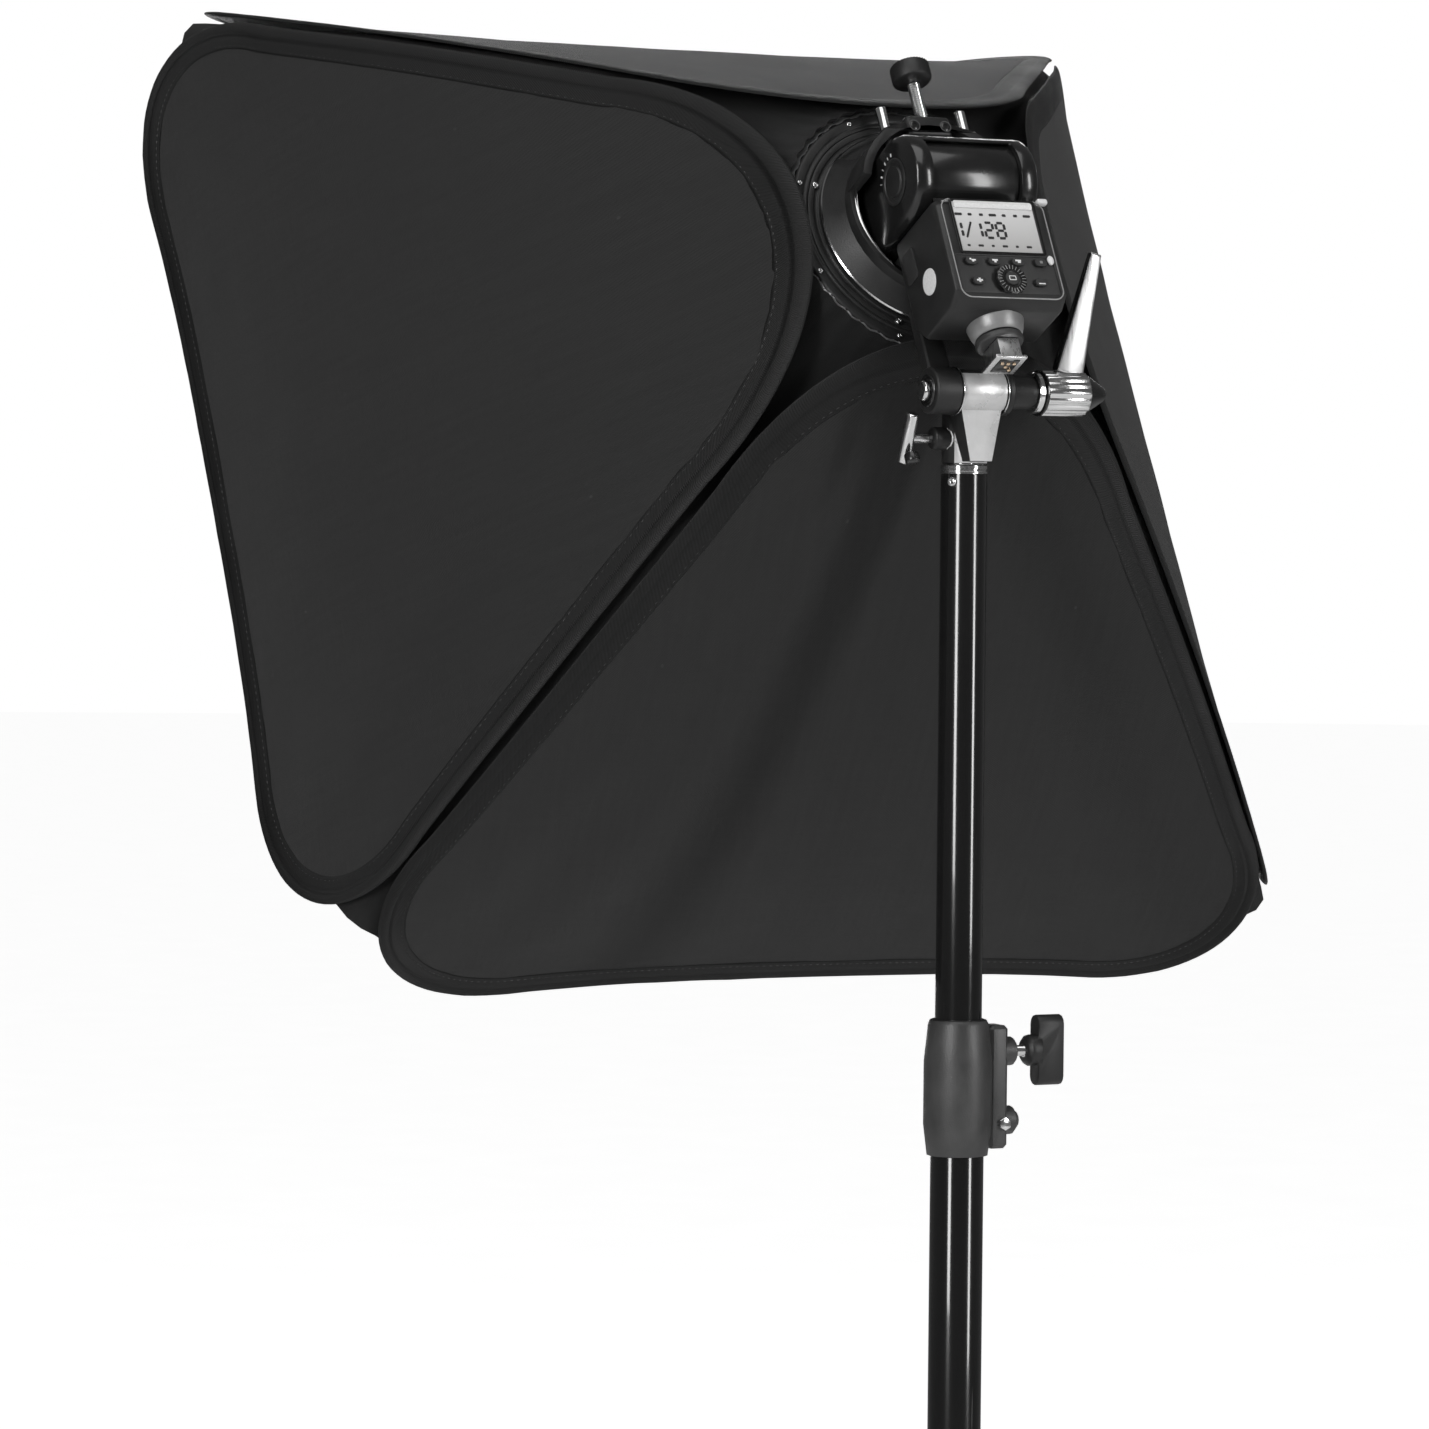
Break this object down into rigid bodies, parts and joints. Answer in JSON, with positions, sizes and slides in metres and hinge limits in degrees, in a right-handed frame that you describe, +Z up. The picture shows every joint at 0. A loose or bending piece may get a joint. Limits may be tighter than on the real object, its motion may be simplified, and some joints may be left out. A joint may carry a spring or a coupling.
{
  "type": "studio softbox",
  "caption": "Collapsible square fabric softbox with a flash unit in a tilting bracket on a three-section folding light stand.",
  "frame": {"origin": "on the floor, on the axis of the stand's pole", "axes": "+Z up along the pole, the softbox faces -Y and down, X across"},
  "size_m": [0.824, 0.9462, 1.6134],
  "materials": {
    "black_fabric": "matte woven nylon",
    "silver_fabric": "crinkled metallised fabric",
    "white_cloth": "translucent white nylon",
    "black_gloss": "black gloss anodised",
    "dark_metal": "satin dark grey casting",
    "spring_steel": "blued spring wire in a black hem",
    "bright_metal": "polished nickel plate",
    "black_plastic": "fine-grained black",
    "rubber": "matte black",
    "clear_lens": "clear ribbed lens",
    "display_glass": "grey liquid-crystal window"
  },
  "bodies": {
    "stand_base": {"base_tube": "black_gloss", "base_clamp": "dark_metal", "brace_collar": "black_plastic"},
    "base_clamp_knob": {"base_clamp_knob": "black_plastic"},
    "middle_section": {"mid_tube": "black_gloss", "mid_clamp": "dark_metal"},
    "mid_clamp_knob": {"mid_clamp_knob": "black_plastic"},
    "top_section": {"top_tube": "black_gloss", "top_cap": "bright_metal"},
    "leg_collar": {"leg_collar": "black_plastic"},
    "leg_collar_knob": {"leg_collar_knob": "black_plastic"},
    "leg_1": {"leg_1": "black_gloss", "foot_1": "rubber"},
    "brace_1": {"brace_1": "dark_metal"},
    "leg_2": {"leg_2": "black_gloss", "foot_2": "rubber"},
    "brace_2": {"brace_2": "dark_metal"},
    "leg_3": {"leg_3": "black_gloss", "foot_3": "rubber"},
    "brace_3": {"brace_3": "dark_metal"},
    "swivel": {"socket_body": "black_plastic"},
    "socket_screw": {"socket_screw": "bright_metal"},
    "tilt_head": {"tilt_arm": "black_plastic", "tilt_bolt": "bright_metal", "clamp_frame": "dark_metal", "lower_pad": "rubber", "bayonet_ring": "dark_metal"},
    "tilt_handle": {"tilt_drum": "black_plastic", "tilt_lever": "bright_metal"},
    "clamp_jaw": {"clamp_plate": "dark_metal"},
    "clamp_knob": {"clamp_knob": "black_plastic"},
    "ring_lock_pin": {"ring_lock_pin": "bright_metal"},
    "softbox": {"mount_ring": "dark_metal", "inner_lining": "silver_fabric", "front_diffuser": "white_cloth", "panel_left": "black_fabric", "panel_right": "black_fabric", "panel_top": "black_fabric", "panel_bottom": "black_fabric", "wire_left": "spring_steel", "wire_right": "spring_steel", "wire_top": "spring_steel", "wire_bottom": "spring_steel"},
    "flash_head": {"flash_head": "black_plastic", "flash_lens": "clear_lens"},
    "flash_neck": {"flash_neck": "black_plastic"},
    "flash_body": {"flash_body": "black_plastic", "display": "display_glass", "hot_shoe_foot": "bright_metal"},
    "battery_door": {"battery_door": "black_plastic"},
    "foot_lock_ring": {"foot_lock_ring": "dark_metal"},
    "control_dial": {"control_dial": "black_plastic"},
    "dial_button": {"dial_button": "black_plastic"},
    "button_1": {"button_1": "black_plastic"},
    "button_2": {"button_2": "black_plastic"},
    "button_3": {"button_3": "black_plastic"},
    "button_4": {"button_4": "black_plastic"},
    "button_5": {"button_5": "black_plastic"},
    "button_6": {"button_6": "black_plastic"}
  },
  "joints": [
    {"name": "base_knob_turn", "type": "hinge", "parent": "stand_base", "child": "base_clamp_knob", "pos_m": [-0.0348, 0, 0.7185], "axis": [-1, 0, 0], "range_deg": [0, 720]},
    {"name": "middle_section_slide", "type": "slide", "parent": "stand_base", "child": "middle_section", "axis": [0, 0, 1], "range_m": [-0.245, 0.2]},
    {"name": "mid_knob_turn", "type": "hinge", "parent": "middle_section", "child": "mid_clamp_knob", "pos_m": [-0.03305, 0, 1.0405], "axis": [-1, 0, 0], "range_deg": [0, 720]},
    {"name": "top_section_slide", "type": "slide", "parent": "middle_section", "child": "top_section", "axis": [0, 0, 1], "range_m": [-0.28, 0.2]},
    {"name": "leg_collar_slide", "type": "slide", "parent": "stand_base", "child": "leg_collar", "axis": [0, 0, 1], "range_m": [0, 0.12563]},
    {"name": "leg_knob_turn", "type": "hinge", "parent": "leg_collar", "child": "leg_collar_knob", "pos_m": [-0.02295, 0.01325, 0.44637], "axis": [-0.866, 0.5, 0], "range_deg": [0, 720]},
    {"name": "leg_1_fold", "type": "hinge", "parent": "leg_collar", "child": "leg_1", "pos_m": [0, 0.034, 0.43437], "axis": [-1, 0, 0], "range_deg": [0, 44.4]},
    {"name": "brace_1_fold", "type": "hinge", "parent": "leg_1", "child": "brace_1", "pos_m": [0, 0.18793, 0.27719], "axis": [-1, 0, 0], "range_deg": [-88.8, 0]},
    {"name": "leg_2_fold", "type": "hinge", "parent": "leg_collar", "child": "leg_2", "pos_m": [-0.02944, -0.017, 0.43437], "axis": [0.5, -0.866, 0], "range_deg": [0, 44.4]},
    {"name": "brace_2_fold", "type": "hinge", "parent": "leg_2", "child": "brace_2", "pos_m": [-0.16275, -0.09396, 0.27719], "axis": [0.5, -0.866, 0], "range_deg": [-88.8, 0]},
    {"name": "leg_3_fold", "type": "hinge", "parent": "leg_collar", "child": "leg_3", "pos_m": [0.02944, -0.017, 0.43437], "axis": [0.5, 0.866, 0], "range_deg": [0, 44.4]},
    {"name": "brace_3_fold", "type": "hinge", "parent": "leg_3", "child": "brace_3", "pos_m": [0.16275, -0.09396, 0.27719], "axis": [0.5, 0.866, 0], "range_deg": [-88.8, 0]},
    {"name": "swivel_turn", "type": "hinge", "parent": "top_section", "child": "swivel", "pos_m": [0, 0, 1.3675], "axis": [0, 0, 1], "continuous": true},
    {"name": "socket_screw_turn", "type": "hinge", "parent": "swivel", "child": "socket_screw", "pos_m": [0.0203, 0, 1.3676], "axis": [1, 0, 0], "range_deg": [0, 720]},
    {"name": "head_tilt", "type": "hinge", "parent": "swivel", "child": "tilt_head", "pos_m": [0, 0.0123, 1.39251], "axis": [1, 0, 0], "range_deg": [-80, 10]},
    {"name": "tilt_handle_turn", "type": "hinge", "parent": "tilt_head", "child": "tilt_handle", "pos_m": [0, 0.0123, 1.39251], "axis": [1, 0, 0], "range_deg": [-110, 5]},
    {"name": "clamp_jaw_slide", "type": "slide", "parent": "tilt_head", "child": "clamp_jaw", "axis": [0, -0.4695, 0.8829], "range_m": [0, 0.005]},
    {"name": "clamp_knob_turn", "type": "hinge", "parent": "clamp_jaw", "child": "clamp_knob", "pos_m": [0, -0.06492, 1.56437], "axis": [0, -0.4695, 0.8829], "range_deg": [0, 1441]},
    {"name": "ring_lock_pull", "type": "slide", "parent": "tilt_head", "child": "ring_lock_pin", "axis": [-1, 0, 0], "range_m": [0, 0.004], "stiffness_N_per_m": 400},
    {"name": "softbox_twist", "type": "hinge", "parent": "tilt_head", "child": "softbox", "pos_m": [0, -0.05918, 1.47795], "axis": [0, -0.8829, -0.4695], "range_deg": [0, 18]},
    {"name": "flash_slide", "type": "slide", "parent": "tilt_head", "child": "flash_head", "axis": [0, 0.8829, 0.4695], "range_m": [0, 0.07]},
    {"name": "flash_bounce", "type": "hinge", "parent": "flash_head", "child": "flash_neck", "pos_m": [0, -0.0115, 1.5033], "axis": [1, 0, 0], "range_deg": [0, 90]},
    {"name": "flash_swivel", "type": "hinge", "parent": "flash_neck", "child": "flash_body", "pos_m": [0, 0.00345, 1.48158], "axis": [0, -0.4695, 0.8829], "range_deg": [-5, 5]},
    {"name": "battery_door_open", "type": "hinge", "parent": "flash_body", "child": "battery_door", "pos_m": [-0.034, 0.03442, 1.46316], "axis": [0, 0.4695, -0.8829], "range_deg": [0, 95]},
    {"name": "foot_lock_turn", "type": "hinge", "parent": "flash_body", "child": "foot_lock_ring", "pos_m": [0, 0.03734, 1.41783], "axis": [0, -0.4695, 0.8829], "range_deg": [0, 60]},
    {"name": "button_1_press", "type": "slide", "parent": "flash_body", "child": "button_1", "axis": [0, -0.8829, -0.4695], "range_m": [0, 0.0006], "stiffness_N_per_m": 600},
    {"name": "button_2_press", "type": "slide", "parent": "flash_body", "child": "button_2", "axis": [0, -0.8829, -0.4695], "range_m": [0, 0.0006], "stiffness_N_per_m": 600},
    {"name": "button_3_press", "type": "slide", "parent": "flash_body", "child": "button_3", "axis": [0, -0.8829, -0.4695], "range_m": [0, 0.0006], "stiffness_N_per_m": 600},
    {"name": "button_4_press", "type": "slide", "parent": "flash_body", "child": "button_4", "axis": [0, -0.8829, -0.4695], "range_m": [0, 0.0006], "stiffness_N_per_m": 600},
    {"name": "button_5_press", "type": "slide", "parent": "flash_body", "child": "button_5", "axis": [0, -0.8829, -0.4695], "range_m": [0, 0.0006], "stiffness_N_per_m": 600},
    {"name": "button_6_press", "type": "slide", "parent": "flash_body", "child": "button_6", "axis": [0, -0.8829, -0.4695], "range_m": [0, 0.0006], "stiffness_N_per_m": 600},
    {"name": "dial_turn", "type": "hinge", "parent": "flash_body", "child": "control_dial", "pos_m": [0, 0.04867, 1.44978], "axis": [0, 0.8829, 0.4695], "continuous": true},
    {"name": "dial_button_press", "type": "slide", "parent": "flash_body", "child": "dial_button", "axis": [0, -0.8829, -0.4695], "range_m": [0, 0.0006], "stiffness_N_per_m": 600}
  ],
  "couplings": [
    {"joint": "clamp_knob_turn", "follows": "clamp_jaw_slide", "rad_per_m": 5026.5},
    {"joint": "leg_1_fold", "follows": "leg_collar_slide", "rad_per_m": 6.1676},
    {"joint": "brace_1_fold", "follows": "leg_collar_slide", "rad_per_m": -12.335},
    {"joint": "leg_2_fold", "follows": "leg_collar_slide", "rad_per_m": 6.1676},
    {"joint": "brace_2_fold", "follows": "leg_collar_slide", "rad_per_m": -12.335},
    {"joint": "leg_3_fold", "follows": "leg_collar_slide", "rad_per_m": 6.1676},
    {"joint": "brace_3_fold", "follows": "leg_collar_slide", "rad_per_m": -12.335}
  ]
}
